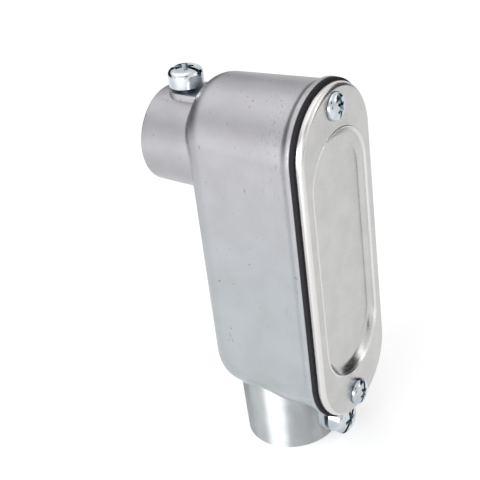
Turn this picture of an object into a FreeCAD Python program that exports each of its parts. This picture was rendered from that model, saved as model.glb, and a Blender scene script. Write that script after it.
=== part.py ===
# Angle conduit body for half-inch thin-wall tube, with two set-screw hubs and a gasketed cover.
# Millimetres, +Z up. The origin is the centre of the bottom hub's mouth.
# The cover faces -Y, the back hub points +Y, and the bottom hub opens towards -Z.
import FreeCAD, Part
import math
import os

# ---- Driving dimensions ----

# Tube and hubs
tube_radius = 8.965             # outside of the tube that the hubs take
tube_clearance = 0.235
hub_wall = 2.7                  # at the mouth
hub_growth = 0.25               # how much wider the hub is where it meets the housing
hub_length = 12.5               # clear length outside the housing
bore_depth = 12.0               # mouth to the tube stop
stop_width = 1.2                # how far the tube stop reaches in past the bore wall
throat_flare = 1.0              # widening of the throat where it meets the chamber

# Housing
housing_overhang = 3.2          # how far each side wall stands out past the hubs, at the rim
body_depth = 32.6               # rim plane to back wall
body_draft = 1.8                # how much narrower each side is at the back
back_edge_radius = 6.7
back_edge_bevels = 4            # flat steps that stand for the round along the back edge
arc_spacing = 58.6              # between the centres of the two round ends
end_hub_setback = 17.8          # rim plane to the axis of the bottom hub
back_hub_drop = 3.9             # centre of the upper round end down to the axis of the back hub
wall = 2.3
chamber_chamfer = 2.6           # bevel round the chamber's floor, under the outer round
rim_flare = 0.65                # how far the rim's lip stands out from the side walls
rim_lip_thickness = 0.9
rim_lip_run_out = 1.4           # depth over which the lip blends back into the wall

# Set screws and their bosses
set_screw_radius = 2.4
set_screw_clearance = 0.1
set_head_radius = 4.3
set_head_height = 4.6
set_shoulder_radius = 1.1
set_dome_rise = 0.3
set_screw_standoff = 0.7        # gap under the head with the screw backed off
set_tip_gap = 0.45              # tip to bore wall, with the screw backed off
set_boss_margin = 0.2           # boss edge beyond the head
set_boss_rise = 1.0             # boss face above the hub's outside
back_screw_offset = 5.1         # back set screw's axis to the back wall
bottom_head_clearance = 0.25    # bottom set screw's head to the rim's lip

# Cover screws
cover_screw_radius = 1.75
cover_screw_clearance = 0.15    # in the cover
column_hole_clearance = 0.1     # in the housing's screw columns
gasket_hole_clearance = 0.25
cover_screw_edge = 4.9          # screw axis to the end of the side wall, at the rim
cover_screw_engagement = 6.0
column_hole_depth = 8.0
column_wall = 2.15              # metal round the hole in a screw column
cover_head_radius = 3.4
cover_head_height = 1.9
cover_shoulder_radius = 0.9
cover_dome_rise = 0.25

# Cover and gasket
gasket_thickness = 1.15
gasket_eye_margin = 0.3         # rubber beyond the screw column
cover_inset = 0.1               # cover's edge inside the housing's side wall
cover_thickness = 2.05
cover_edge_radius = 1.2
dish_border = 3.1               # flat face between the cover's edge and the dish
dish_depth = 1.1
dish_wall_lean = 0.5            # how much narrower the dish is at its floor
dish_end_gap = 2.6              # clear face between the upper screw head and the dish
dish_foot_rise = 1.0            # how much more clear face there is at the lower end
dish_floor_thickness = 1.5
dish_back_clearance = 1.3       # between the back of the dish and the chamber wall

# Rounded edges drawn as two bevels: where the bevels meet, as a share of the rounding's radius
knee_share = 0.7

# Driver slots, as shares of the head's own sizes, and the bevel on a screw's tip
slot_width_share = 0.26         # of the head's radius
slot_depth_share = 0.40         # of the head's height
tip_chamfer = 0.4

# ---- Worked-out places and sizes ----

bore_radius = tube_radius + tube_clearance
throat_radius = bore_radius - stop_width
hub_radius = bore_radius + hub_wall
body_half_width = hub_radius + housing_overhang
lip_half_width = body_half_width + rim_flare
cover_half_width = body_half_width - cover_inset
dish_half_width = cover_half_width - dish_border

rim_y = -end_hub_setback
back_y = rim_y + body_depth
back_half_width = body_half_width - body_draft
gasket_front_y = rim_y - gasket_thickness
cover_front_y = gasket_front_y - cover_thickness
back_hub_mouth_y = back_y + hub_length

# The housing's lower end wall leans with the draft, so its height is taken on the hub's axis.
end_half_width = body_half_width - body_draft * end_hub_setback / body_depth
low_arc_z = hub_length + end_half_width
high_arc_z = low_arc_z + arc_spacing
back_hub_height = high_arc_z - back_hub_drop

set_boss_half_width = set_head_radius + set_boss_margin
set_boss_face = hub_radius + set_boss_rise
set_head_seat = set_boss_face + set_screw_standoff
set_tip = bore_radius + set_tip_gap
back_screw_y = back_y + back_screw_offset
lip_bottom_z = low_arc_z - lip_half_width
bottom_screw_z = lip_bottom_z - bottom_head_clearance - set_head_radius

column_hole_radius = cover_screw_radius + column_hole_clearance
column_radius = column_hole_radius + column_wall
cover_screw_offset = body_half_width - cover_screw_edge
cover_screw_heights = {
    "cover_screw_top": high_arc_z + cover_screw_offset,
    "cover_screw_bottom": low_arc_z - cover_screw_offset,
}
cover_screw_length = cover_thickness + gasket_thickness + cover_screw_engagement

ALONG_X = FreeCAD.Vector(1, 0, 0)
ALONG_Y = FreeCAD.Vector(0, 1, 0)
ALONG_Z = FreeCAD.Vector(0, 0, 1)


def point(x, y, z):
    return FreeCAD.Vector(x, y, z)


def rod(radius, start, direction, length):
    return Part.makeCylinder(radius, length, start, direction)


def obround_wire(half_width, y, low_z, high_z):
    """Closed outline with full-round ends, standing in the plane at depth y."""
    left_low = point(-half_width, y, low_z)
    left_high = point(-half_width, y, high_z)
    right_low = point(half_width, y, low_z)
    right_high = point(half_width, y, high_z)
    crown = Part.Arc(left_high, point(0, y, high_z + half_width), right_high)
    foot = Part.Arc(right_low, point(0, y, low_z - half_width), left_low)
    sides = [Part.LineSegment(left_low, left_high), Part.LineSegment(right_high, right_low)]
    return Part.Wire([sides[0].toShape(), crown.toShape(), sides[1].toShape(), foot.toShape()])


def obround_plate(half_width, front_y, back_face_y, low_z=None, high_z=None):
    """Flat plate with full-round ends between two depths."""
    outline = obround_wire(half_width, front_y, low_z or low_arc_z, high_z or high_arc_z)
    return Part.Face(outline).extrude(ALONG_Y * (back_face_y - front_y))


def tapered_obround(front_width, back_width, front_y, back_face_y, low_z=None, high_z=None):
    """Obround block whose half-width changes evenly with depth: a wedge between two cones."""
    low_z = low_z or low_arc_z
    high_z = high_z or high_arc_z
    depth = back_face_y - front_y
    section = Part.makePolygon([
        point(-front_width, front_y, low_z),
        point(front_width, front_y, low_z),
        point(back_width, back_face_y, low_z),
        point(-back_width, back_face_y, low_z),
        point(-front_width, front_y, low_z),
    ])
    block = Part.Face(section).extrude(ALONG_Z * (high_z - low_z))
    for z in (low_z, high_z):
        block = block.fuse(Part.makeCone(front_width, back_width, depth, point(0, front_y, z), ALONG_Y))
    return block.removeSplitter()


def edges_at_depth(shape, y):
    """Edges that lie wholly in the plane at depth y."""
    found = []
    for edge in shape.Edges:
        box = edge.BoundBox
        if abs(box.YMin - y) < 1e-3 and abs(box.YMax - y) < 1e-3:
            found.append(edge)
    return found


def back_edge_steps():
    """Depths and half-widths of the round along the back edge, from the side wall to the back."""
    lean = math.atan(body_draft / body_depth)
    centre_y = back_y - back_edge_radius
    wall_width = body_half_width - body_draft * (centre_y - rim_y) / body_depth
    centre_width = wall_width - back_edge_radius / math.cos(lean)
    steps = []
    for step in range(back_edge_bevels + 1):
        turn = lean + (math.pi / 2 - lean) * step / back_edge_bevels
        steps.append((centre_y + back_edge_radius * math.sin(turn),
                      centre_width + back_edge_radius * math.cos(turn)))
    return steps


def housing_outside():
    """Drafted obround block with a large round along its back edge and a lip round its rim."""
    steps = back_edge_steps()
    block = tapered_obround(body_half_width, steps[0][1], rim_y, steps[0][0])
    for (near_y, near_width), (far_y, far_width) in zip(steps, steps[1:]):
        block = block.fuse(tapered_obround(near_width, far_width, near_y, far_y))
    lip_back_y = rim_y + rim_lip_thickness
    lip = obround_plate(lip_half_width, rim_y, lip_back_y)
    run_out = tapered_obround(lip_half_width, body_half_width - rim_flare, lip_back_y,
                              lip_back_y + 2 * rim_lip_run_out)
    return block.fuse([lip, run_out]).removeSplitter()


def back_hub_outside():
    root = point(0, 0, back_hub_height)
    length = back_hub_mouth_y
    growth = hub_growth * length / hub_length
    return Part.makeCone(hub_radius + growth, hub_radius, length, root, ALONG_Y)


def bottom_hub_outside():
    growth = hub_growth * low_arc_z / hub_length
    return Part.makeCone(hub_radius, hub_radius + growth, low_arc_z, point(0, 0, 0), ALONG_Z)


def set_screw_boss(axis_point, outward, towards_wall, wall_distance):
    """Raised pad on a hub: round at its free end and running into the housing wall."""
    foot = axis_point + outward * throat_radius
    height = set_boss_face - throat_radius
    across = outward.cross(towards_wall)
    corner = foot - across * set_boss_half_width
    run = towards_wall * wall_distance
    outline = Part.makePolygon([
        corner,
        corner + across * (2 * set_boss_half_width),
        corner + across * (2 * set_boss_half_width) + run,
        corner + run,
        corner,
    ])
    pad = Part.Face(outline).extrude(outward * height)
    return pad.fuse(rod(set_boss_half_width, foot, outward, height)).removeSplitter()


def chamber():
    """The wiring chamber: the housing's outside drawn in by the wall, with a bevelled floor edge."""
    back_face_y = back_y - wall
    taper = body_draft * (body_depth - wall) / body_depth
    front_width = body_half_width - wall
    space = tapered_obround(front_width, front_width - taper, rim_y, back_face_y)
    return space.makeChamfer(chamber_chamfer, edges_at_depth(space, back_face_y))


def hub_passage(mouth, inward, reach):
    """Tube bore, stop and flared throat as one turned space, from the mouth inwards."""
    bore = rod(bore_radius, mouth, inward, bore_depth)
    throat = rod(throat_radius, mouth, inward, reach)
    flare_start = mouth + inward * (reach - 2 * throat_flare)
    flare = Part.makeCone(throat_radius, throat_radius + 2 * throat_flare, 2 * throat_flare,
                          flare_start, inward)
    return bore.fuse([throat, flare])


def housing():
    outside = housing_outside().fuse([back_hub_outside(), bottom_hub_outside()]).removeSplitter()
    back_axis = point(0, back_screw_y, back_hub_height)
    bottom_axis = point(0, 0, bottom_screw_z)
    bosses = [
        set_screw_boss(back_axis, ALONG_Z, -ALONG_Y, back_screw_offset + back_edge_radius),
        set_screw_boss(bottom_axis, -ALONG_Y, ALONG_Z, hub_length - bottom_screw_z + wall),
    ]
    outside = outside.fuse(bosses).removeSplitter()

    shell = outside.cut(chamber())
    columns = []
    for name, z in cover_screw_heights.items():
        depth = body_depth - wall if name == "cover_screw_top" else end_hub_setback - throat_radius
        column = rod(column_radius, point(0, rim_y, z), ALONG_Y, depth)
        columns.append(column.common(housing_outside()))
    shell = shell.fuse(columns).removeSplitter()

    back_mouth = point(0, back_hub_mouth_y, back_hub_height)
    back_reach = hub_length + wall + throat_flare / 2
    bottom_reach = low_arc_z - end_half_width + 2 * wall + throat_flare
    cuts = [
        hub_passage(back_mouth, -ALONG_Y, back_reach),
        hub_passage(point(0, 0, 0), ALONG_Z, bottom_reach),
        rod(set_screw_radius + set_screw_clearance, back_axis, ALONG_Z, set_boss_face + wall),
        rod(set_screw_radius + set_screw_clearance, bottom_axis, -ALONG_Y, set_boss_face + wall),
    ]
    for z in cover_screw_heights.values():
        cuts.append(rod(column_hole_radius, point(0, rim_y, z), ALONG_Y, column_hole_depth))
    return shell.cut(cuts).removeSplitter()


def gasket():
    outer = obround_plate(lip_half_width, gasket_front_y, rim_y)
    ring = outer.cut(obround_plate(body_half_width - wall, gasket_front_y, rim_y))
    eyes = []
    holes = []
    for z in cover_screw_heights.values():
        start = point(0, gasket_front_y, z)
        eye = rod(column_radius + gasket_eye_margin, start, ALONG_Y, gasket_thickness)
        eyes.append(eye.common(outer))
        holes.append(rod(cover_screw_radius + gasket_hole_clearance, start, ALONG_Y, gasket_thickness))
    return ring.fuse(eyes).cut(holes).removeSplitter()


def cover():
    """Cast plate with a two-bevel rounded edge and a long dish that shows as a pan on its back."""
    knee = cover_edge_radius * knee_share
    knee_y = cover_front_y + cover_edge_radius - knee
    edge_y = cover_front_y + cover_edge_radius
    face_width = cover_half_width - cover_edge_radius
    plate = obround_plate(cover_half_width, edge_y, gasket_front_y).fuse([
        tapered_obround(face_width + knee, cover_half_width, knee_y, edge_y),
        tapered_obround(face_width, face_width + knee, cover_front_y, knee_y),
    ])

    head_edge = cover_screw_offset - cover_head_radius
    dish_arc_inset = dish_half_width - head_edge + dish_end_gap
    dish_low = low_arc_z + dish_arc_inset + dish_foot_rise
    dish_high = high_arc_z - dish_arc_inset
    floor_y = cover_front_y + dish_depth
    pan_back_y = floor_y + dish_floor_thickness
    pan_width = body_half_width - wall - dish_back_clearance
    pan = tapered_obround(pan_width, pan_width - dish_wall_lean, gasket_front_y, pan_back_y,
                          dish_low, dish_high)
    dish = tapered_obround(dish_half_width, dish_half_width - dish_wall_lean, cover_front_y, floor_y,
                           dish_low, dish_high)
    holes = []
    for z in cover_screw_heights.values():
        start = point(0, cover_front_y, z)
        holes.append(rod(cover_screw_radius + cover_screw_clearance, start, ALONG_Y, cover_thickness))
    return plate.fuse(pan).cut([dish] + holes).removeSplitter()


def screw(head_radius, head_height, shoulder, dome, shank_radius, shank_length):
    """Pan-head screw, seated at the origin with its head towards +Z and its shank below."""
    start = point(0, 0, 0)
    flank_top = head_height - dome - shoulder
    shoulder_centre = head_radius - shoulder
    knee_rise = shoulder * knee_share
    profile = Part.makePolygon([
        start,
        point(head_radius, 0, 0),
        point(head_radius, 0, flank_top),
        point(shoulder_centre + knee_rise, 0, flank_top + knee_rise),
        point(shoulder_centre, 0, flank_top + shoulder),
        point(0, 0, head_height),
        start,
    ])
    head = Part.Face(profile).revolve(start, ALONG_Z, 360)

    slot_width = slot_width_share * head_radius
    slot_depth = slot_depth_share * head_height
    slot = Part.makeBox(3 * head_radius, slot_width, slot_depth + dome,
                        point(-1.5 * head_radius, -slot_width / 2, head_height - slot_depth))
    head = head.cut(slot)

    shank = rod(shank_radius, point(0, 0, -shank_length), ALONG_Z, shank_length)
    tip = [edge for edge in shank.Edges if edge.BoundBox.ZMax < tip_chamfer - shank_length]
    shank = shank.makeChamfer(tip_chamfer, tip)
    return head.fuse(shank).removeSplitter()


def set_screw():
    return screw(set_head_radius, set_head_height, set_shoulder_radius, set_dome_rise,
                 set_screw_radius, set_head_seat - set_tip)


def cover_screw():
    return screw(cover_head_radius, cover_head_height, cover_shoulder_radius, cover_dome_rise,
                 cover_screw_radius, cover_screw_length)


def facing_front(shape):
    """Turn a screw so that its head points along -Y."""
    shape.rotate(point(0, 0, 0), ALONG_X, 90)
    return shape


def placed(shape, x, y, z):
    shape.translate(point(x, y, z))
    return shape


def build():
    parts = {
        "housing": housing(),
        "gasket": gasket(),
        "cover": cover(),
        "back_set_screw": placed(set_screw(), 0, back_screw_y, back_hub_height + set_head_seat),
        "bottom_set_screw": placed(facing_front(set_screw()), 0, -set_head_seat, bottom_screw_z),
    }
    for name, z in cover_screw_heights.items():
        parts[name] = placed(facing_front(cover_screw()), 0, cover_front_y, z)
    return parts


os.makedirs("parts", exist_ok=True)
for name, shape in build().items():
    print(name, "valid", shape.isValid(), "solids", len(shape.Solids), "volume", round(shape.Volume, 1))
    shape.exportStep(os.path.join("parts", name + ".step"))
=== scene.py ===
import bpy
import bmesh
import math
from mathutils import Matrix, Vector


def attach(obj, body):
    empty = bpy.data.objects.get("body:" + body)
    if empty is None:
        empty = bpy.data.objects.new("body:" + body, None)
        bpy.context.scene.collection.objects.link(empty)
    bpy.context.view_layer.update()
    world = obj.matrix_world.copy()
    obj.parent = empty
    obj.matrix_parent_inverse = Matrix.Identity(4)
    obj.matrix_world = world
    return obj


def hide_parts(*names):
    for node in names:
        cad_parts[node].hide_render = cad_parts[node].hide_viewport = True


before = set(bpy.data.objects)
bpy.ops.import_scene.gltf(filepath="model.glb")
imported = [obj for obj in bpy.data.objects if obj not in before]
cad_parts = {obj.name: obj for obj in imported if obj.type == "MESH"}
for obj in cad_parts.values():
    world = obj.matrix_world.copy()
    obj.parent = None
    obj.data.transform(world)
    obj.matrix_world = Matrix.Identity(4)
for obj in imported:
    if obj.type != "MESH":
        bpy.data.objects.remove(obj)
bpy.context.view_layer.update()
print("frame loaded")

mm = 0.001

# What several pieces share, in millimetres: depths run along Y and heights along Z
layout = {
    "lowArc": 26.617,         # height of the centre of the housing's lower round end
    "highArc": 85.217,        # and of its upper one
    "rimPlane": -17.8,        # depth where the housing's rim meets the gasket
    "gasketFront": -18.95,
    "coverFront": -21.0,
    "coverScrewHeights": (95.417, 16.417),
    "backHubHeight": 81.317,
    "backScrewDepth": 19.9,
    "bottomScrewHeight": 6.317,
    "bossFace": 12.9,         # from a hub's axis to the face of its boss
    "ringSteps": 96,          # points round an outline
    "drillSteps": 48,
    "sameSpot": 0.0005,       # points nearer than this are made one
}


def clearSelection():
    if bpy.context.object and bpy.context.object.mode != "OBJECT":
        bpy.ops.object.mode_set(mode="OBJECT")
    bpy.ops.object.select_all(action="DESELECT")


def makeOnly(piece):
    clearSelection()
    piece.select_set(True)
    bpy.context.view_layer.objects.active = piece


def editing(piece):
    makeOnly(piece)
    bpy.ops.object.mode_set(mode="EDIT")
    bpy.ops.mesh.select_mode(type="VERT")


def doneEditing():
    bpy.ops.object.mode_set(mode="OBJECT")


def pick(piece, test):
    # in edit mode, selects the points that pass the test and nothing else
    mesh = bmesh.from_edit_mesh(piece.data)
    for vert in mesh.verts:
        vert.select = bool(test(vert.co / mm))
    mesh.select_flush_mode()
    mesh.select_flush(True)
    bmesh.update_edit_mesh(piece.data)


def picked(piece):
    mesh = bmesh.from_edit_mesh(piece.data)
    return [vert.index for vert in mesh.verts if vert.select]


def pickIndices(piece, wanted):
    mesh = bmesh.from_edit_mesh(piece.data)
    wanted = set(wanted)
    for vert in mesh.verts:
        vert.select = vert.index in wanted
    mesh.select_flush(True)
    bmesh.update_edit_mesh(piece.data)


def applyPlace(piece):
    makeOnly(piece)
    bpy.ops.object.transform_apply(location=True, rotation=True, scale=True)


def putAt(piece, place, turn=(0, 0, 0)):
    # turns a piece about the origin, in degrees, moves it, and leaves that in its mesh
    piece.rotation_euler = [math.radians(angle) for angle in turn]
    piece.location = Vector(place) * mm
    applyPlace(piece)


def alongY(piece, y, z):
    # lays down a piece that was turned about Z, so that its top points to -Y
    putAt(piece, (0, 0, 0), (90, 0, 0))
    putAt(piece, (0, y, z))
    return piece


def applyBoolean(piece, tool, operation):
    makeOnly(piece)
    modifier = piece.modifiers.new("boolean", "BOOLEAN")
    modifier.operation = operation
    modifier.object = tool
    modifier.solver = "EXACT"
    bpy.ops.object.modifier_apply(modifier=modifier.name)
    bpy.data.objects.remove(tool, do_unlink=True)


def cutAway(piece, tool):
    applyBoolean(piece, tool, "DIFFERENCE")


def weldOn(piece, other):
    applyBoolean(piece, other, "UNION")


def outwards(piece):
    editing(piece)
    bpy.ops.mesh.select_all(action="SELECT")
    bpy.ops.mesh.remove_doubles(threshold=layout["sameSpot"] * mm)
    bpy.ops.mesh.normals_make_consistent(inside=False)
    doneEditing()


def smoothOver(piece, degrees):
    makeOnly(piece)
    bpy.ops.object.shade_smooth_by_angle(angle=math.radians(degrees))


def copyOf(piece, name):
    twin = piece.copy()
    twin.data = piece.data.copy()
    twin.name = twin.data.name = name
    bpy.context.scene.collection.objects.link(twin)
    return twin


def rounding(centreDepth, centreWidth, radius, start, end, steps):
    # (depth, half-width) points; 0 degrees is sideways and 90 is towards greater depth
    points = []
    for step in range(steps + 1):
        angle = math.radians(start + (end - start) * step / steps)
        points.append((centreDepth + radius * math.sin(angle), centreWidth + radius * math.cos(angle)))
    return points


def obroundStack(name, rings, steps=layout["ringSteps"]):
    # closed body from a row of full-round-ended outlines: (depth, half-width, low centre, high centre)
    depth, width, low, high = rings[0]
    clearSelection()
    bpy.ops.mesh.primitive_circle_add(vertices=steps, radius=width * mm, fill_type="NGON",
                                      location=(0, depth * mm, low * mm),
                                      rotation=(math.pi / 2, math.pi / steps, 0))
    piece = bpy.context.object
    piece.name = piece.data.name = name
    applyPlace(piece)
    editing(piece)
    pick(piece, lambda co: co.z > low)
    bpy.ops.transform.translate(value=(0, 0, (high - low) * mm))
    bpy.ops.mesh.select_all(action="SELECT")
    for nextDepth, nextWidth, nextLow, nextHigh in rings[1:]:
        move = (0, (nextDepth - depth) * mm, 0)
        bpy.ops.mesh.extrude_edges_move(TRANSFORM_OT_translate={"value": move})
        ring = picked(piece)
        middle = (low + high) / 2 * mm
        mesh = bmesh.from_edit_mesh(piece.data)
        mesh.verts.ensure_lookup_table()
        lowHalf = [index for index in ring if mesh.verts[index].co.z < middle]
        highHalf = [index for index in ring if mesh.verts[index].co.z >= middle]
        grow = nextWidth / width
        for half, centre, nextCentre in ((lowHalf, low, nextLow), (highHalf, high, nextHigh)):
            pickIndices(piece, half)
            about = (0, nextDepth * mm, centre * mm)
            bpy.ops.transform.resize(value=(grow, 1, grow), center_override=about)
            bpy.ops.transform.translate(value=(0, 0, (nextCentre - centre) * mm))
        pickIndices(piece, ring)
        depth, width, low, high = nextDepth, nextWidth, nextLow, nextHigh
    bpy.ops.mesh.edge_face_add()
    doneEditing()
    outwards(piece)
    return piece


def turnedStack(name, rings, steps):
    # closed turned body about Z from a row of circles: (height, radius)
    height, radius = rings[0]
    clearSelection()
    bpy.ops.mesh.primitive_circle_add(vertices=steps, radius=radius * mm, fill_type="NGON",
                                      location=(0, 0, height * mm))
    piece = bpy.context.object
    piece.name = piece.data.name = name
    applyPlace(piece)
    editing(piece)
    bpy.ops.mesh.select_all(action="SELECT")
    for nextHeight, nextRadius in rings[1:]:
        move = (0, 0, (nextHeight - height) * mm)
        bpy.ops.mesh.extrude_edges_move(TRANSFORM_OT_translate={"value": move})
        grow = nextRadius / radius
        bpy.ops.transform.resize(value=(grow, grow, 1), center_override=(0, 0, nextHeight * mm))
        height, radius = nextHeight, nextRadius
    bpy.ops.mesh.edge_face_add()
    doneEditing()
    outwards(piece)
    return piece


def makeDrill(*rings):
    return turnedStack("drill", rings, layout["drillSteps"])


def makeThroughDrill(radius):
    reach = 4     # each way, more than any plate is thick
    return makeDrill((-reach, radius), (reach, radius))


def addNode(owner, kind, **settings):
    node = owner.node_tree.nodes.new("ShaderNode" + kind)
    for name, value in settings.items():
        setattr(node, name, value)
    return node


def join(owner, source, target):
    owner.node_tree.links.new(source, target)


def newMaterial(name, metallic=0.0):
    material = bpy.data.materials.new(name)
    material.use_nodes = True
    material.node_tree.nodes.clear()
    output = addNode(material, "OutputMaterial")
    shader = addNode(material, "BsdfPrincipled")
    shader.inputs["Metallic"].default_value = metallic
    join(material, shader.outputs[0], output.inputs[0])
    return material, shader


def objectPlace(material, scale=(1, 1, 1)):
    # object coordinates in millimetres
    coordinates = addNode(material, "TexCoord")
    mapping = addNode(material, "Mapping")
    mapping.inputs["Scale"].default_value = [factor / mm for factor in scale]
    join(material, coordinates.outputs["Object"], mapping.inputs["Vector"])
    return mapping.outputs["Vector"]


def noise(material, place, scale, detail=2, roughness=0.5):
    texture = addNode(material, "TexNoise")
    texture.inputs["Scale"].default_value = scale
    texture.inputs["Detail"].default_value = detail
    texture.inputs["Roughness"].default_value = roughness
    join(material, place, texture.inputs["Vector"])
    return texture.outputs["Fac"]


def ranged(owner, source, span, onto=(0, 1)):
    # carries the values of a span over to another one, and stops at its ends
    node = addNode(owner, "MapRange")
    for name, value in zip(("From Min", "From Max", "To Min", "To Max"), (*span, *onto)):
        node.inputs[name].default_value = value
    join(owner, source, node.inputs["Value"])
    return node.outputs["Result"]


def rangedAlong(material, place, axis, span):
    split = addNode(material, "SeparateXYZ")
    join(material, place, split.inputs[0])
    return ranged(material, split.outputs[axis], span)


def blendColours(material, factor, first, second):
    node = addNode(material, "Mix", data_type="RGBA")
    join(material, factor, node.inputs["Factor"])
    for socket, colour in ((node.inputs["A"], first), (node.inputs["B"], second)):
        if hasattr(colour, "links"):
            join(material, colour, socket)
        else:
            socket.default_value = (*colour, 1)
    return node.outputs["Result"]


def combine(owner, operation, first, second):
    node = addNode(owner, "Math", operation=operation)
    for socket, value in zip(node.inputs, (first, second)):
        if isinstance(value, (int, float)):
            socket.default_value = value
        else:
            join(owner, value, socket)
    return node.outputs[0]


def roughen(material, shader, grain, roughness):
    # a fine grain varies how sharply the surface reflects
    join(material, ranged(material, grain, (0.3, 0.7), roughness), shader.inputs["Roughness"])


def relief(material, shader, heights, depth):
    bump = addNode(material, "Bump")
    bump.inputs["Strength"].default_value = 1.0
    bump.inputs["Distance"].default_value = depth * mm
    join(material, heights, bump.inputs["Height"])
    join(material, bump.outputs["Normal"], shader.inputs["Normal"])


castAluminiumLook = {
    "lowPale": (0.445, 0.475, 0.495),
    "lowDull": (0.415, 0.44, 0.455),
    "shadedHighPale": (0.415, 0.408, 0.43),
    "shadedHighDull": (0.385, 0.377, 0.397),
    "paintedShadeHeights": (40, 90),  # between these the low colours give way to the darker high ones: painted shade standing in for the shade the upper housing takes
    "cloudScale": 0.13,
    "roughness": (0.34, 0.46),
    "grainScale": 2.6,
    "grainDepth": 0.018,      # millimetres
    "mark": (0.10, 0.095, 0.10),
    "markStrength": 0.6,
    "pitScale": 0.75,
    "pitSpan": (0.755, 0.785),     # a higher span leaves fewer marks, here and below
    "scratchStretch": (1.6, 1.6, 0.28),
    "scratchScale": 0.9,
    "scratchSpan": (0.76, 0.785),
    "dragScale": 1.3,
    "dragSpan": (0.60, 0.70),
    "dragStrength": 0.35,
    "dragDepths": (-4, -13),  # drag marks come in towards the rim
    "dragHeights": (72, 90),  # and towards the top
}


def makeCastAluminium():
    look = castAluminiumLook
    material, shader = newMaterial("castAluminium", metallic=1.0)
    place = objectPlace(material)
    clouds = ranged(material, noise(material, place, look["cloudScale"], 3), (0.35, 0.65))
    # painted shade: the housing's colour darkens and loses its blue with height
    rise = rangedAlong(material, place, "Z", look["paintedShadeHeights"])
    pale = blendColours(material, rise, look["lowPale"], look["shadedHighPale"])
    dull = blendColours(material, rise, look["lowDull"], look["shadedHighDull"])
    skin = blendColours(material, clouds, pale, dull)
    pits = ranged(material, noise(material, place, look["pitScale"], 1), look["pitSpan"])
    upright = objectPlace(material, look["scratchStretch"])
    scratches = ranged(material, noise(material, upright, look["scratchScale"], 1), look["scratchSpan"])
    marks = combine(material, "MAXIMUM", pits, scratches)
    marks = combine(material, "MULTIPLY", marks, look["markStrength"])
    nearRim = rangedAlong(material, place, "Y", look["dragDepths"])
    nearTop = rangedAlong(material, place, "Z", look["dragHeights"])
    streaks = noise(material, upright, look["dragScale"])
    drags = ranged(material, streaks, look["dragSpan"], (0, look["dragStrength"]))
    drags = combine(material, "MULTIPLY", drags, combine(material, "MULTIPLY", nearRim, nearTop))
    marks = combine(material, "MAXIMUM", marks, drags)
    join(material, blendColours(material, marks, skin, look["mark"]), shader.inputs["Base Color"])
    grain = noise(material, place, look["grainScale"], 4, 0.6)
    roughen(material, shader, grain, look["roughness"])
    relief(material, shader, grain, look["grainDepth"])
    return material


turnedAluminiumLook = {
    "pale": (0.59, 0.61, 0.62),
    "dull": (0.54, 0.56, 0.57),
    "cloudScale": 0.2,
    "roughness": 0.5,
    "stretch": 1.0,           # how far highlights stretch along the hub
    "stretchTurn": 0.25,      # in whole turns
    "ringStretch": (0.05, 0.05, 6),     # turning marks run round the hub
    "ringDepth": 0.004,
}


def makeTurnedAluminium():
    # the bottom hub's outside, turned smooth about the Z axis
    look = turnedAluminiumLook
    material, shader = newMaterial("turnedAluminium", metallic=1.0)
    place = objectPlace(material)
    clouds = ranged(material, noise(material, place, look["cloudScale"]), (0.4, 0.6))
    join(material, blendColours(material, clouds, look["pale"], look["dull"]), shader.inputs["Base Color"])
    shader.inputs["Roughness"].default_value = look["roughness"]
    shader.inputs["Anisotropic"].default_value = look["stretch"]
    shader.inputs["Anisotropic Rotation"].default_value = look["stretchTurn"]
    around = addNode(material, "VectorMath", operation="CROSS_PRODUCT")
    around.inputs[0].default_value = (0, 0, 1)
    join(material, place, around.inputs[1])
    join(material, around.outputs["Vector"], shader.inputs["Tangent"])
    rings = noise(material, objectPlace(material, look["ringStretch"]), 1.0, 3)
    relief(material, shader, rings, look["ringDepth"])
    return material


coverAluminiumLook = {
    "pale": (0.545, 0.542, 0.536),
    "dull": (0.50, 0.498, 0.494),
    "cloudScale": 0.16,
    "roughness": (0.20, 0.29),
    "grainScale": 2.2,
    "grainDepth": 0.008,
}


def makeCoverAluminium():
    look = coverAluminiumLook
    material, shader = newMaterial("coverAluminium", metallic=1.0)
    place = objectPlace(material)
    clouds = ranged(material, noise(material, place, look["cloudScale"], 3), (0.35, 0.65))
    join(material, blendColours(material, clouds, look["pale"], look["dull"]), shader.inputs["Base Color"])
    grain = noise(material, place, look["grainScale"], 3, 0.55)
    roughen(material, shader, grain, look["roughness"])
    relief(material, shader, grain, look["grainDepth"])
    return material


paintedHighlightEdgeLook = {
    "pale": (0.68, 0.67, 0.66),
    "roughness": 0.3,
    "grainScale": 2.2,
    "grainDepth": 0.02,
}


def makePaintedHighlightEdge():
    # painted highlight: a paler band on the cover's rounded edge and the dish's brow, standing in for the
    # light they catch
    look = paintedHighlightEdgeLook
    material, shader = newMaterial("paintedHighlightEdge", metallic=1.0)
    shader.inputs["Base Color"].default_value = (*look["pale"], 1)
    shader.inputs["Roughness"].default_value = look["roughness"]
    grain = noise(material, objectPlace(material), look["grainScale"], 3, 0.55)
    relief(material, shader, grain, look["grainDepth"])
    return material


gasketRubberLook = {
    "dark": (0.012, 0.011, 0.013),
    "worn": (0.034, 0.032, 0.035),
    "speckleScale": 3.5,
    "speckleDepth": 0.03,
    "roughness": 0.8,
    "sheen": 0.2,
}


def makeGasketRubber():
    look = gasketRubberLook
    material, shader = newMaterial("gasketRubber")
    speckle = noise(material, objectPlace(material), look["speckleScale"], 4, 0.65)
    wear = ranged(material, speckle, (0.4, 0.7))
    join(material, blendColours(material, wear, look["dark"], look["worn"]), shader.inputs["Base Color"])
    shader.inputs["Roughness"].default_value = look["roughness"]
    shader.inputs["Specular IOR Level"].default_value = look["sheen"]
    relief(material, shader, speckle, look["speckleDepth"])
    return material


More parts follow.
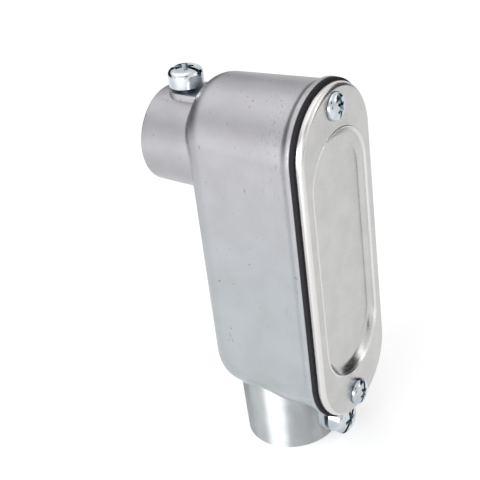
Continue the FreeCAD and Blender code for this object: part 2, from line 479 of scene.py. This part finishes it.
platedSteelLook = {
    "bright": (0.62, 0.65, 0.68),
    "blue": (0.47, 0.52, 0.57),
    "bloomScale": 0.3,
    "hollow": (0.14, 0.33, 0.40),       # painted shade: a darker blue-green in the driver recess
    "hollowShadeReach": 1.2,
    "hollowShadeSpan": (0.2, 0.62),          # how open to the sky, from all hollow to all plating; the painted shade deepens as it closes in
    "roughness": (0.10, 0.20),
    "grainScale": 5,
    "grainDepth": 0.003,
}


def makePlatedSteel():
    look = platedSteelLook
    material, shader = newMaterial("platedSteel", metallic=1.0)
    place = objectPlace(material)
    bloom = ranged(material, noise(material, place, look["bloomScale"], 1), (0.42, 0.62))
    plating = blendColours(material, bloom, look["bright"], look["blue"])
    # painted shade: ambient occlusion darkens the plating to blue-green inside the recess
    occlusionShade = addNode(material, "AmbientOcclusion", samples=8)
    occlusionShade.inputs["Distance"].default_value = look["hollowShadeReach"] * mm
    unshadedShare = ranged(material, occlusionShade.outputs["AO"], look["hollowShadeSpan"])
    join(material, blendColours(material, unshadedShare, look["hollow"], plating), shader.inputs["Base Color"])
    grain = noise(material, place, look["grainScale"], 3)
    roughen(material, shader, grain, look["roughness"])
    relief(material, shader, grain, look["grainDepth"])
    return material


castAluminium = makeCastAluminium()
turnedAluminium = makeTurnedAluminium()
coverAluminium = makeCoverAluminium()
paintedHighlightEdge = makePaintedHighlightEdge()
gasketRubber = makeGasketRubber()
platedSteel = makePlatedSteel()
print("materials ready")


def dress(piece, material, body, node):
    piece.data.materials.clear()
    piece.data.materials.append(material)
    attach(piece, body)
    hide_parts(node)


coverSize = {
    "halfWidth": 15.0,
    "edgeRadius": 1.2,
    "edgeSteps": 8,
    "backBevel": 0.15,
    "dishHalfWidth": 11.9,
    "dishLow": 35.3,          # centres of the dish's round ends
    "dishHigh": 77.5,
    "dishDepth": 1.85,
    "dishMiddle": 6.0,        # half-width of the innermost outline on its floor
    "dishSideRun": 0.9,       # how far its wall curves in at the sides
    "dishEndRun": 1.9,        # and at the ends
    "dishCurve": 1.25,        # how much its wall flattens out inwards
    "sideEase": 0.62,         # makes the side walls flatten out more than the ends
    "wallShares": (0, 0.08, 0.18, 0.3, 0.42, 0.55, 0.7, 0.85),
    "wallShort": 0.1,         # the wall's curve aims this far below the face
    "dishBrow": 0.22,         # small round at the dish's upper edge
    "beadHeight": 0.13,       # fine raised line round the dish
    "beadWidth": 0.3,
    "beadSlope": ((0.35, 0.15), (0.65, 0.6), (0.85, 0.9), (1, 1)),  # shares across and down
    "panHalfWidth": 11.5,
    "panDepth": 0.55,         # how far the back of the dish stands out behind the plate
    "panBevel": 0.2,
    "holeRadius": 1.9,
    "highlightFacing": (-0.93, -0.02),     # which way the faces given the painted highlight face, front to side
    "flatFacing": -0.99,      # what faces the front more squarely than this gets no painted highlight
    "smoothAngle": 35,
}


def makeCover():
    size = coverSize
    front, back = layout["coverFront"], layout["gasketFront"]
    low, high = layout["lowArc"], layout["highArc"]
    dishLow, dishHigh = size["dishLow"], size["dishHigh"]
    floor = front + size["dishDepth"]
    brow = size["dishBrow"]
    wallWidth = size["dishHalfWidth"] - brow
    endRun, sideRun = size["dishEndRun"], size["dishSideRun"]
    rings = [(floor, size["dishMiddle"], dishLow + endRun, dishHigh - endRun)]
    for share in size["wallShares"]:
        rise = (size["dishDepth"] - size["wallShort"]) * share ** size["dishCurve"]
        width = wallWidth - sideRun * (1 - share ** size["sideEase"])
        draw = endRun * (1 - share)
        rings.append((floor - rise, width, dishLow + draw, dishHigh - draw))
    top, bead = size["beadHeight"], size["beadWidth"]
    for depth, width in rounding(front + brow - top, wallWidth + brow, brow, 210, 270, 3):
        rings.append((depth, width, dishLow, dishHigh))
    for share, drop in size["beadSlope"]:
        rings.append((front - top * (1 - drop), wallWidth + brow + bead * share, dishLow, dishHigh))
    radius = size["edgeRadius"]
    edge = rounding(front + radius, size["halfWidth"] - radius, radius, -90, 0, size["edgeSteps"])
    rings += [(depth, width, low, high) for depth, width in edge]
    bevel = size["backBevel"]
    rings.append((back - bevel, size["halfWidth"], low, high))
    rings.append((back, size["halfWidth"] - bevel, low, high))
    pan, panBack, panBevel = size["panHalfWidth"], back + size["panDepth"], size["panBevel"]
    rings.append((back, pan, dishLow, dishHigh))
    rings.append((panBack - panBevel, pan - panBevel, dishLow, dishHigh))
    rings.append((panBack, pan - 2 * panBevel, dishLow, dishHigh))
    cover = obroundStack("coverPlate", rings)
    for height in layout["coverScrewHeights"]:
        cutAway(cover, alongY(makeThroughDrill(size["holeRadius"]), front, height))
    smoothOver(cover, size["smoothAngle"])
    dress(cover, coverAluminium, "lid", "cover")
    # painted highlight: the rounded edge's faces and the dish's brow take the paler highlight material
    cover.data.materials.append(paintedHighlightEdge)
    frontmost, sidemost = size["highlightFacing"]
    for face in cover.data.polygons:
        centre = face.center / mm
        nearest = min(max(centre.z, low), high)
        onEdge = math.hypot(centre.x, centre.z - nearest) > size["halfWidth"] - radius
        onBrow = not onEdge and centre.y < front + brow and face.normal.y > size["flatFacing"]
        face.material_index = int(onBrow or (onEdge and frontmost < face.normal.y < sidemost))


makeCover()
print("cover made")


gasketSize = {
    "halfWidth": 15.62,
    "edgeBevel": 0.1,
    "bulge": 0.1,
    "bulgeShares": (0.08, 0.3, 0.5, 0.7, 0.92),
    "innerHalfWidth": 12.8,
    "eyeRadius": 4.4,         # round each screw, where the gasket reaches inwards
    "holeRadius": 2.0,
    "smoothAngle": 40,
}


def makeGasket():
    size = gasketSize
    front, back = layout["gasketFront"], layout["rimPlane"]
    low, high = layout["lowArc"], layout["highArc"]
    width, bevelled = size["halfWidth"], size["halfWidth"] - size["edgeBevel"]
    rings = [(front, bevelled, low, high)]
    for share in size["bulgeShares"]:
        bulge = size["bulge"] * math.sin(math.pi * share)
        rings.append((front + (back - front) * share, width + bulge, low, high))
    rings.append((back, bevelled, low, high))
    gasket = obroundStack("gasketRing", rings)
    inner = size["innerHalfWidth"]
    window = obroundStack("window", [(front - 1, inner, low, high), (back + 1, inner, low, high)])
    for height in layout["coverScrewHeights"]:
        cutAway(window, alongY(makeThroughDrill(size["eyeRadius"]), front, height))
    cutAway(gasket, window)
    for height in layout["coverScrewHeights"]:
        cutAway(gasket, alongY(makeThroughDrill(size["holeRadius"]), front, height))
    smoothOver(gasket, size["smoothAngle"])
    dress(gasket, gasketRubber, "body", "gasket")


makeGasket()
print("gasket made")


setScrewSize = {
    "headRadius": 4.3,
    "headHeight": 4.6,
    "shoulder": 1.35,
    "dome": 0.35,
    "underBevel": 0.25,
    "seatGap": 0.02,
    "standOff": 0.7,          # from its boss's face to the head
    "shankRadius": 2.4,
    "length": 3.95,
    "pitch": 0.85,
    "threadDepth": 0.32,
    "slotWidth": 1.1,
    "slotDepth": 1.9,
    "crossWidth": 1.0,
    "crossReach": 2.7,
    "crossDepth": 2.6,
}

coverScrewSize = {
    "headRadius": 3.4,
    "headHeight": 1.86,
    "shoulder": 1.4,
    "dome": 0.3,
    "underBevel": 0.08,
    "seatGap": 0.02,          # under the head, so that it rests on the cover without cutting it
    "shankRadius": 1.75,
    "length": 9.2,
    "pitch": 0.8,
    "threadDepth": 0.26,
    "slotWidth": 0.85,
    "slotDepth": 0.9,
    "crossWidth": 0.8,
    "crossReach": 2.1,
    "crossDepth": 1.5,
}

# what both kinds of screw share
screwShape = {
    "steps": 64,
    "tipBevel": 0.5,
    "shoulderAngle": 78,      # degrees of rounding before the domed top begins
    "domeShares": (0.75, 0.5, 0.25, 0.08),
    "slotTurn": 1.3,          # degrees, a little off square so that no cut runs along an edge
    "crossBars": ((46, 0), (136, 0.03)),     # degrees, and how much shallower each bar is
    "crossTaper": (0.45, 0.8),               # along and across a bar's lower edge
    "threadSteps": 24,        # to a turn
    "threadFoot": 0.47,       # half-widths of the ridge, as shares of the pitch
    "threadCrest": 0.06,
    "threadSink": 0.15,       # how deep the ridge's foot sits in the shank
    "threadStart": 0.5,       # above the tip
    "threadSpare": 0.8,       # at least this much of the shank has no thread
    "smoothAngle": 40,
}


def cuttingBar(length, width, top, depth, turn, taper=None):
    # a bar lying across a screw's head, its lower edge drawn in by taper
    above = 1     # how far it stands out over the head
    clearSelection()
    bpy.ops.mesh.primitive_cube_add(size=1, location=(0, 0, (top - depth / 2 + above / 2) * mm),
                                    scale=(2 * length * mm, width * mm, (depth + above) * mm))
    bar = bpy.context.object
    applyPlace(bar)
    if taper:
        editing(bar)
        pick(bar, lambda co: co.z < top - depth / 2)
        bpy.ops.transform.resize(value=(*taper, 1), center_override=(0, 0, 0))
        doneEditing()
    putAt(bar, (0, 0, 0), (0, 0, turn))
    return bar


def makeThread(size):
    # the ridge's outline, turned and raised step by step round the shank
    shape = screwShape
    steps, pitch, crest = shape["threadSteps"], size["pitch"], size["shankRadius"]
    foot = crest - size["threadDepth"] - shape["threadSink"]
    footHalf, crestHalf = pitch * shape["threadFoot"], pitch * shape["threadCrest"]
    corners = [(foot, -footHalf), (crest, -crestHalf), (crest, crestHalf), (foot, footHalf)]
    clearSelection()
    bpy.ops.mesh.primitive_circle_add(vertices=4, radius=0.5 * mm, fill_type="NGON", location=(0, 0, 0))
    ridge = bpy.context.object
    ridge.name = ridge.data.name = "ridge"
    editing(ridge)
    mesh = bmesh.from_edit_mesh(ridge.data)
    start = -size["length"] + shape["threadStart"]
    for vert, (across, along) in zip(mesh.verts, corners):
        vert.co = Vector((across, 0, start + along)) * mm
    bmesh.update_edit_mesh(ridge.data)
    bpy.ops.mesh.select_all(action="SELECT")
    turns = int((size["length"] - shape["threadSpare"]) / pitch)
    for step in range(turns * steps):
        bpy.ops.mesh.extrude_region_move(TRANSFORM_OT_translate={"value": (0, 0, 0)})
        bpy.ops.transform.rotate(value=-2 * math.pi / steps, orient_axis="Z", center_override=(0, 0, 0))
        bpy.ops.transform.translate(value=(0, 0, pitch / steps * mm))
    doneEditing()
    outwards(ridge)
    return ridge


def makeScrew(name, size):
    shape = screwShape
    radius, height, length = size["headRadius"], size["headHeight"], size["length"]
    shank = size["shankRadius"] - size["threadDepth"]
    under, seat, tip = size["underBevel"], size["seatGap"], shape["tipBevel"]
    rings = [(-length, shank - tip), (-length + tip, shank), (seat, shank)]
    rings += [(seat, radius - under), (under + seat, radius)]
    shoulder = size["shoulder"]
    flankTop = height - size["dome"] - shoulder
    rings += rounding(flankTop, radius - shoulder, shoulder, 0, shape["shoulderAngle"], 7)
    edgeRise, edgeWidth = rings[-1]
    for share in shape["domeShares"]:
        rings.append((height - (height - edgeRise) * share ** 2, edgeWidth * share))
    screw = turnedStack(name, rings, shape["steps"])
    cutAway(screw, cuttingBar(radius + 1, size["slotWidth"], height, size["slotDepth"], shape["slotTurn"]))
    reach, width = size["crossReach"], size["crossWidth"]
    for turn, less in shape["crossBars"]:
        depth = size["crossDepth"] - less
        cutAway(screw, cuttingBar(reach, width, height, depth, turn, shape["crossTaper"]))
    weldOn(screw, makeThread(size))
    smoothOver(screw, shape["smoothAngle"])
    return screw


def placeScrews():
    setScrew = makeScrew("setScrew", setScrewSize)
    coverScrew = makeScrew("coverScrew", coverScrewSize)
    underHead = layout["bossFace"] + setScrewSize["standOff"]
    front = layout["coverFront"]
    topHeight, bottomHeight = layout["coverScrewHeights"]
    backPlace = (0, layout["backScrewDepth"], layout["backHubHeight"] + underHead)
    bottomPlace = (0, -underHead, layout["bottomScrewHeight"])
    highPlace, lowPlace = (0, front, topHeight), (0, front, bottomHeight)
    # name, model, body, node, place, tilt and the way the slot points, in degrees
    plan = (
        ("backSetScrew", setScrew, "back_grip", "back_set_screw", backPlace, 0, 90),
        ("bottomSetScrew", setScrew, "bottom_grip", "bottom_set_screw", bottomPlace, 90, 45),
        ("topCoverScrew", coverScrew, "top_fastener", "cover_screw_top", highPlace, 90, 85),
        ("bottomCoverScrew", coverScrew, "bottom_fastener", "cover_screw_bottom", lowPlace, 90, 65),
    )
    for name, model, body, node, place, tilt, slotTurn in plan:
        screw = copyOf(model, name)
        putAt(screw, (0, 0, 0), (0, 0, slotTurn))
        putAt(screw, place, (tilt, 0, 0))
        dress(screw, platedSteel, body, node)
    for model in (setScrew, coverScrew):
        bpy.data.objects.remove(model, do_unlink=True)


placeScrews()
print("screws made")


housingSize = {
    "rimHalfWidth": 15.1,
    "lipHalfWidth": 15.75,
    "lipThickness": 0.9,
    "lipBevel": 0.12,
    "lipFlare": ((0.35, 0.09), (0.8, 0.33), (1.2, 0.55), (1.6, 0.72)),  # behind the lip, and inwards
    "flareEnd": 2.1,          # behind the lip, where the side is plain again
    "draft": 1.8,             # how much narrower each side is at the back
    "depth": 32.6,
    "backRound": 6.7,
    "hubRadius": 11.9,
    "hubGrowth": 0.25,        # over the hub's length
    "hubLength": 12.5,
    "bottomHubSunk": 8,       # how far each hub runs on into the housing
    "backHubSunk": 4,
    "rootRound": 0.6,
    "rootReach": 0.35,        # the corner lies this far outside the hub's mouth
    "rootBand": 0.4,          # and is looked for this far to either side
    "rootAngle": 18,          # degrees, the flattest corner that is rounded
    "rootMerge": 0.25,        # points nearer than this along the corner are made one first
    "bottomRootHeights": (5, 26),
    "backRootDepth": 8,
    "mouthRound": 0.4,
    "boreRadius": 9.2,
    "boreDepth": 12.0,
    "boreBevel": 0.4,
    "stopBevel": 0.25,
    "throatRadius": 8.0,
    "throatFlare": 2,
    "bottomPassage": 18.1,    # from each hub's mouth to the chamber
    "backPassage": 15.3,
    "wall": 2.3,
    "chamberRound": 2.6,
    "chamberRoundStart": 4,   # degrees
    "chamberEase": 0.1,       # widens the round a little
    "columnRadius": 4.0,
    "topColumnDepth": 40,     # past the chamber's floor
    "columnHole": 1.85,
    "columnHoleDepth": 8.0,
    "columnHoleTip": 0.8,
    "bossHalfWidth": 4.5,
    "bossRun": 9,             # from one round end's centre to the other
    "bossDepth": 5,           # inwards from its face
    "bossRound": 0.3,
    "bossRoundMiddle": 0.09,
    "screwHole": 2.5,
    "screwHoleStart": 2,      # from the hub's axis
    "holeBevel": 0.3,
    "turnedHeight": 12.3,     # the bottom hub is turned smooth up to here
    "turnedBand": (0.2, 0.4),      # beyond the bore and beyond the hub's mouth
    "steps": 72,
    "bossSteps": 48,
    "smoothAngle": 32,
}


def sideHalfWidth(depth):
    size = housingSize
    return size["rimHalfWidth"] - size["draft"] * (depth - layout["rimPlane"]) / size["depth"]


def makeOutside():
    size = housingSize
    rim, low, high = layout["rimPlane"], layout["lowArc"], layout["highArc"]
    lip, bevel = size["lipHalfWidth"], size["lipBevel"]
    behindLip = rim + size["lipThickness"]
    profile = [(rim, lip - bevel), (rim + bevel, lip), (behindLip, lip)]
    for step, fall in size["lipFlare"]:
        profile.append((behindLip + step, lip - fall))
    flareEnd = behindLip + size["flareEnd"]
    profile.append((flareEnd, sideHalfWidth(flareEnd)))
    lean = math.degrees(math.atan(size["draft"] / size["depth"]))
    radius = size["backRound"]
    centreDepth = rim + size["depth"] - radius
    centreWidth = sideHalfWidth(centreDepth) - radius / math.cos(math.radians(lean))
    profile += rounding(centreDepth, centreWidth, radius, lean, 90, 12)
    rings = [(depth, width, low, high) for depth, width in profile]
    return obroundStack("conduitHousing", rings, size["steps"])


def makeHub(sunk):
    # a hub standing on its mouth, with its other end sunk into the housing
    size = housingSize
    radius, edge = size["hubRadius"], size["mouthRound"]
    growth = size["hubGrowth"] / size["hubLength"]
    top = size["hubLength"] + sunk
    rings = rounding(edge, radius - edge, edge, -90, 0, 4) + [(top, radius + growth * top)]
    return turnedStack("hub", rings, size["steps"])


def pickHollow(piece, nearRoot):
    # selects the edges of an inside corner
    flattest = -math.radians(housingSize["rootAngle"])
    mesh = bmesh.from_edit_mesh(piece.data)
    for edge in mesh.edges:
        edge.select = False
    for edge in mesh.edges:
        middle = (edge.verts[0].co + edge.verts[1].co) / 2 / mm
        hollow = len(edge.link_faces) == 2 and edge.calc_face_angle_signed(0) < flattest
        if hollow and nearRoot(middle):
            edge.select = True
    bmesh.update_edit_mesh(piece.data)


def roundRoot(piece, nearRoot):
    # rounds the inside corner where a hub meets the housing
    size = housingSize
    editing(piece)
    bpy.ops.mesh.select_mode(type="EDGE")
    pickHollow(piece, nearRoot)
    bpy.ops.mesh.remove_doubles(threshold=size["rootMerge"] * mm)
    pickHollow(piece, nearRoot)
    bpy.ops.mesh.bevel(offset=size["rootRound"] * mm, segments=4, profile=0.5, clamp_overlap=False)
    bpy.ops.mesh.select_mode(type="VERT")
    doneEditing()


def roundHubRoots(housing):
    size = housingSize
    lowest, highest = size["bottomRootHeights"]
    reach, band = size["hubRadius"] + size["rootReach"], size["rootBand"]
    hubHeight = layout["backHubHeight"]

    def nearBottomRoot(co):
        return lowest < co.z < highest and abs(math.hypot(co.x, co.y) - reach) < band

    def nearBackRoot(co):
        return co.y > size["backRootDepth"] and abs(math.hypot(co.x, co.z - hubHeight) - reach) < band

    roundRoot(housing, nearBottomRoot)
    roundRoot(housing, nearBackRoot)


def makeBoss(low, high):
    # a set screw's boss on an upright hub, between the heights of its round ends' centres
    size = housingSize
    face, half = -layout["bossFace"], size["bossHalfWidth"]
    edge, middle = size["bossRound"], size["bossRoundMiddle"]
    profile = [(face, half - edge), (face + middle, half - middle), (face + edge, half)]
    profile.append((face + size["bossDepth"], half))
    return obroundStack("boss", [(depth, width, low, high) for depth, width in profile], size["bossSteps"])


def makePassage(reach):
    # what is bored out of a hub: the bore, its stop, and a throat that flares into the chamber
    size = housingSize
    bore, throat, stop = size["boreRadius"], size["throatRadius"], size["boreDepth"]
    bevel, stopBevel, flare = size["boreBevel"], size["stopBevel"], size["throatFlare"]
    rings = [(-1, bore + bevel + 1), (bevel, bore), (stop, bore)]
    rings += [(stop, throat + stopBevel), (stop + stopBevel, throat)]
    rings += [(reach - flare, throat), (reach, throat + flare)]
    return turnedStack("passage", rings, size["steps"])


def makeChamber():
    size = housingSize
    rim, low, high = layout["rimPlane"], layout["lowArc"], layout["highArc"]
    floor = rim + size["depth"] - size["wall"]
    curve = size["chamberRound"]
    near = sideHalfWidth(rim) - size["wall"]
    far = sideHalfWidth(floor) - size["wall"]
    centreWidth = far - curve + size["chamberEase"]
    profile = [(rim - 1, near), (rim, near)]
    profile += rounding(floor - curve, centreWidth, curve, size["chamberRoundStart"], 90, 6)
    rings = [(depth, width, low, high) for depth, width in profile]
    chamber = obroundStack("chamber", rings, size["steps"])
    topHeight, bottomHeight = layout["coverScrewHeights"]
    bottomColumnDepth = -rim - size["throatRadius"]     # as far back as the throat
    for height, depth in ((topHeight, size["topColumnDepth"]), (bottomHeight, bottomColumnDepth)):
        column = makeDrill((-depth, size["columnRadius"]), (2, size["columnRadius"]))
        cutAway(chamber, alongY(column, rim, height))
    return chamber


def bevelledMouth(surface, hole):
    # the last two rings of an upright drill, which bevel its hole at a surface of this height
    bevel, over = housingSize["holeBevel"], 0.1
    return (surface - bevel, hole), (surface + over, hole + bevel + over)


def makeSetScrewDrill():
    size = housingSize
    hole = size["screwHole"]
    return makeDrill((size["screwHoleStart"], hole), *bevelledMouth(layout["bossFace"], hole))


def makeColumnDrill():
    # for a blind hole with a pointed end
    size = housingSize
    hole, depth = size["columnHole"], size["columnHoleDepth"]
    return makeDrill((-depth - size["columnHoleTip"], 0.2), (-depth, hole), *bevelledMouth(0, hole))


def makeHousing():
    size = housingSize
    rim, hubHeight = layout["rimPlane"], layout["backHubHeight"]
    screwHeight, screwDepth = layout["bottomScrewHeight"], layout["backScrewDepth"]
    mouth = rim + size["depth"] + size["hubLength"]
    housing = makeOutside()
    weldOn(housing, makeHub(size["bottomHubSunk"]))
    weldOn(housing, alongY(makeHub(size["backHubSunk"]), mouth, hubHeight))
    roundHubRoots(housing)
    print("hubs rounded in")
    weldOn(housing, makeBoss(screwHeight, screwHeight + size["bossRun"]))
    backBoss = makeBoss(screwDepth - size["bossRun"], screwDepth)
    putAt(backBoss, (0, 0, hubHeight), (-90, 0, 0))
    weldOn(housing, backBoss)
    cutAway(housing, makeChamber())
    cutAway(housing, makePassage(size["bottomPassage"]))
    cutAway(housing, alongY(makePassage(size["backPassage"]), mouth, hubHeight))
    drill = makeSetScrewDrill()
    putAt(drill, (0, screwDepth, hubHeight))
    cutAway(housing, drill)
    cutAway(housing, alongY(makeSetScrewDrill(), 0, screwHeight))
    for height in layout["coverScrewHeights"]:
        cutAway(housing, alongY(makeColumnDrill(), rim, height))
    smoothOver(housing, size["smoothAngle"])
    dress(housing, castAluminium, "body", "housing")
    housing.data.materials.append(turnedAluminium)
    overBore, overHub = size["turnedBand"]
    for face in housing.data.polygons:
        centre = face.center / mm
        onHub = size["boreRadius"] + overBore < math.hypot(centre.x, centre.y) < size["hubRadius"] + overHub
        upright = abs(face.normal.z) < 0.8
        face.material_index = int(onHub and centre.z < size["turnedHeight"] and upright)


makeHousing()
print("housing made")


cameraView = {
    "azimuth": -52.0,
    "elevation": 29.8,
    "roll": -7.65,
    "distance": 302,          # millimetres from the target
    "target": (-6.1, 7.1, 58.1),
    "lens": 92.2,
    "shift": (0.0116, -0.0025),
}


def makeCamera():
    view = cameraView
    azimuth, elevation = math.radians(view["azimuth"]), math.radians(view["elevation"])
    level = math.cos(elevation)
    away = Vector((math.sin(azimuth) * level, -math.cos(azimuth) * level, math.sin(elevation)))
    place = Matrix.Translation((Vector(view["target"]) + away * view["distance"]) * mm)
    turn = (-away).to_track_quat("-Z", "Y").to_matrix().to_4x4()
    roll = Matrix.Rotation(math.radians(view["roll"]), 4, "Z")
    camera = bpy.data.objects.new("camera", bpy.data.cameras.new("camera"))
    bpy.context.scene.collection.objects.link(camera)
    camera.matrix_world = place @ turn @ roll
    camera.data.lens = view["lens"]
    camera.data.sensor_width = 36
    camera.data.shift_x, camera.data.shift_y = view["shift"]
    camera.data.clip_start = 0.01
    bpy.context.scene.camera = camera


studio = {
    "worldStrength": 0.55,    # what the surroundings add to matt surfaces
    "floorHalfSize": 1.5,     # metres, as are the places and sizes below
    "floorColour": (0.8, 0.8, 0.8),
    "floorGlow": 0.42,
    "aim": (0, 0, 0.05),      # where lamps and cards face
    "lamps": (
        # name, place, width, height, power in watts
        ("leftLamp", (-0.59, 0.04, 0.12), 0.45, 0.24, 2.8),
        ("topLamp", (-0.10, 0.30, 0.8), 0.9, 0.9, 1.5),
        ("rightLamp", (0.35, -0.65, 0.45), 0.5, 0.5, 0.9),
    ),
    "flagColour": (0.01, 0.01, 0.01),
    "flags": (
        # black cards that only reflections see: name, place, width, height
        ("cameraFlag", (-0.34, -0.31, 0.50), 0.20, 0.20),
        ("frontFlag", (-0.20, -0.55, 0.08), 0.16, 0.14),
        ("rightFlag", (0.45, -0.29, 0.20), 0.60, 0.42),
        ("backFlag", (0.13, 0.58, 0.17), 0.95, 0.36),
    ),
}


def whereSeen(owner):
    # 1 for what is seen straight, mirrored or through glass, and 0 for the light it gives
    path = addNode(owner, "LightPath")
    seen = combine(owner, "MAXIMUM", path.outputs["Is Camera Ray"], path.outputs["Is Glossy Ray"])
    return combine(owner, "MAXIMUM", seen, path.outputs["Is Transmission Ray"])


def makeFloor():
    clearSelection()
    bpy.ops.mesh.primitive_plane_add(size=2 * studio["floorHalfSize"], location=(0, 0, 0))
    floor = bpy.context.object
    floor.name = floor.data.name = "studioFloor"
    material = bpy.data.materials.new("studioFloorPaint")
    material.use_nodes = True
    material.node_tree.nodes.clear()
    paint = addNode(material, "BsdfDiffuse")
    paint.inputs["Color"].default_value = (*studio["floorColour"], 1)
    glow = addNode(material, "Emission")
    strength = combine(material, "MULTIPLY", whereSeen(material), studio["floorGlow"])
    join(material, strength, glow.inputs["Strength"])
    both = addNode(material, "AddShader")
    join(material, paint.outputs[0], both.inputs[0])
    join(material, glow.outputs[0], both.inputs[1])
    join(material, both.outputs[0], addNode(material, "OutputMaterial").inputs[0])
    floor.data.materials.append(material)


def makeWorld():
    world = bpy.data.worlds.new("studio")
    bpy.context.scene.world = world
    world.use_nodes = True
    background = world.node_tree.nodes["Background"]
    background.inputs["Color"].default_value = (1, 1, 1, 1)
    strength = ranged(world, whereSeen(world), (0, 1), (studio["worldStrength"], 1))
    join(world, strength, background.inputs["Strength"])


def aimAtPart(thing):
    thing.rotation_euler = (Vector(studio["aim"]) - thing.location).to_track_quat("-Z", "Y").to_euler()


def makeLamps():
    for name, place, width, height, power in studio["lamps"]:
        clearSelection()
        bpy.ops.object.light_add(type="AREA", location=place)
        lamp = bpy.context.object
        lamp.name = lamp.data.name = name
        lamp.data.shape = "RECTANGLE"
        lamp.data.size, lamp.data.size_y = width, height
        lamp.data.energy = power
        aimAtPart(lamp)


def makeFlags():
    black, shader = newMaterial("flagBlack")
    shader.inputs["Base Color"].default_value = (*studio["flagColour"], 1)
    shader.inputs["Specular IOR Level"].default_value = 0
    for name, place, width, height in studio["flags"]:
        clearSelection()
        bpy.ops.mesh.primitive_plane_add(size=1, location=place)
        flag = bpy.context.object
        flag.name = flag.data.name = name
        flag.scale = (width, height, 1)
        aimAtPart(flag)
        flag.data.materials.append(black)
        flag.visible_camera = flag.visible_diffuse = flag.visible_shadow = flag.visible_transmission = False


makeCamera()
makeFloor()
makeWorld()
makeLamps()
makeFlags()
bpy.context.scene.view_settings.view_transform = "Standard"
print("studio ready")
